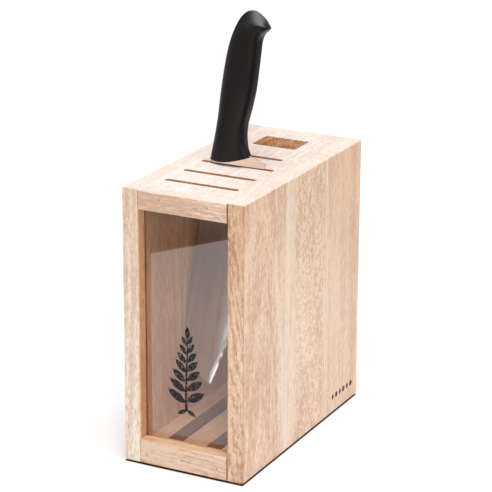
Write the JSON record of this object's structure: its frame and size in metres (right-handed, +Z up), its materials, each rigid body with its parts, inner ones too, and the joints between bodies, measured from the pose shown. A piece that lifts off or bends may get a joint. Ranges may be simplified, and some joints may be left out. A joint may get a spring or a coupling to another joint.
{
  "type": "knife block",
  "caption": "Free-standing wooden knife block with a clear front window, knife slots and a scissors hole in its top, holding a knife with a moulded handle.",
  "frame": {"origin": "middle of the block's footprint, at the surface that its feet stand on", "axes": "+Z up, -Y out of the window, +X to the right when facing the window"},
  "size_m": [0.112, 0.225, 0.3703],
  "materials": {
    "side_wood": "fine sanded, clear oiled rubberwood",
    "back_wood": "fine sanded, clear oiled rubberwood",
    "top_wood": "fine sanded, clear oiled rubberwood",
    "rail_wood": "fine sanded, clear oiled rubberwood, grain along the rail",
    "base_wood": "fine sanded rubberwood",
    "dowel_wood": "plain beech dowel",
    "clear_pane": "clear and smooth, with a small grey printed sprig",
    "brad_steel": "dull wire",
    "foot_rubber": "matt",
    "blade_steel": "satin, with a bright ground bevel",
    "handle_plastic": "fine moulded grain with a soft sheen"
  },
  "bodies": {
    "block": {"left_side_front_stave": "side_wood", "left_side_middle_stave": "side_wood", "left_side_rear_stave": "side_wood", "right_side_front_stave": "side_wood", "right_side_middle_stave": "side_wood", "right_side_rear_stave": "side_wood", "back_left_stave": "back_wood", "back_right_stave": "back_wood", "top_left_stave": "top_wood", "top_right_stave": "top_wood", "top_rail": "rail_wood", "bottom_rail": "rail_wood", "base_front_strip": "base_wood", "base_rear_strip": "base_wood", "base_left_slat": "base_wood", "base_middle_slat": "base_wood", "base_right_slat": "base_wood", "window_pane": "clear_pane", "top_rail_brads": "brad_steel", "bottom_rail_brads": "brad_steel", "top_dowels": "dowel_wood", "base_dowels": "dowel_wood", "back_dowels": "dowel_wood", "front_left_foot": "foot_rubber", "front_right_foot": "foot_rubber", "rear_left_foot": "foot_rubber", "rear_right_foot": "foot_rubber"},
    "knife": {"knife_blade": "blade_steel", "knife_handle": "handle_plastic"}
  },
  "joints": [
    {"name": "knife_lift", "type": "slide", "parent": "block", "child": "knife", "axis": [0.0976, 0.1643, 0.9816], "range_m": [0, 0.2]}
  ]
}
